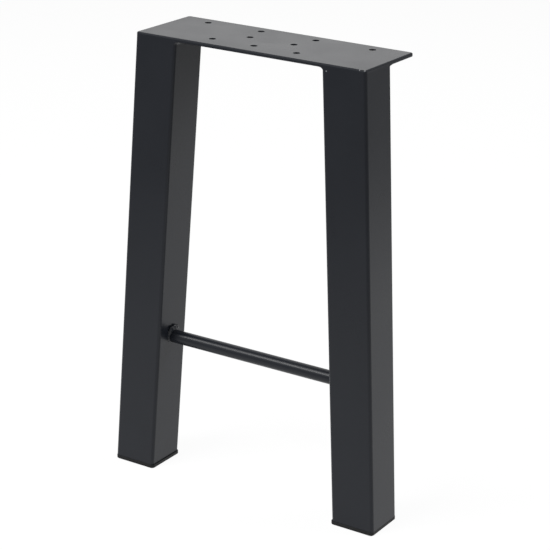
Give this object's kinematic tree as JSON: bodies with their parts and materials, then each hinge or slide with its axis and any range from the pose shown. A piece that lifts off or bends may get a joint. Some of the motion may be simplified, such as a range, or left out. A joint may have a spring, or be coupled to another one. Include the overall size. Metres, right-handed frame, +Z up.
{
  "type": "table leg",
  "caption": "Welded A-frame table leg: splayed square box tubes under a drilled mounting plate, tied by a round cross bar, with moulded foot caps.",
  "frame": {"origin": "on the floor, under the middle of the whole leg's outline", "axes": "+X along the plate towards the right tube, +Y from the tubes' front faces towards the plate's back edge, +Z up to the table top"},
  "size_m": [0.5, 0.145, 0.74],
  "materials": {
    "powder_coat": "satin powder coat with a fine orange-peel texture",
    "foot_plastic": "moulded, slightly soft sheen"
  },
  "bodies": {
    "root": {"top_plate": "powder_coat", "left_tube": "powder_coat", "right_tube": "powder_coat", "cross_bar": "powder_coat", "left_plate_weld": "powder_coat", "right_plate_weld": "powder_coat", "left_bar_weld": "powder_coat", "right_bar_weld": "powder_coat", "left_foot_cap": "foot_plastic", "right_foot_cap": "foot_plastic"}
  },
  "joints": []
}
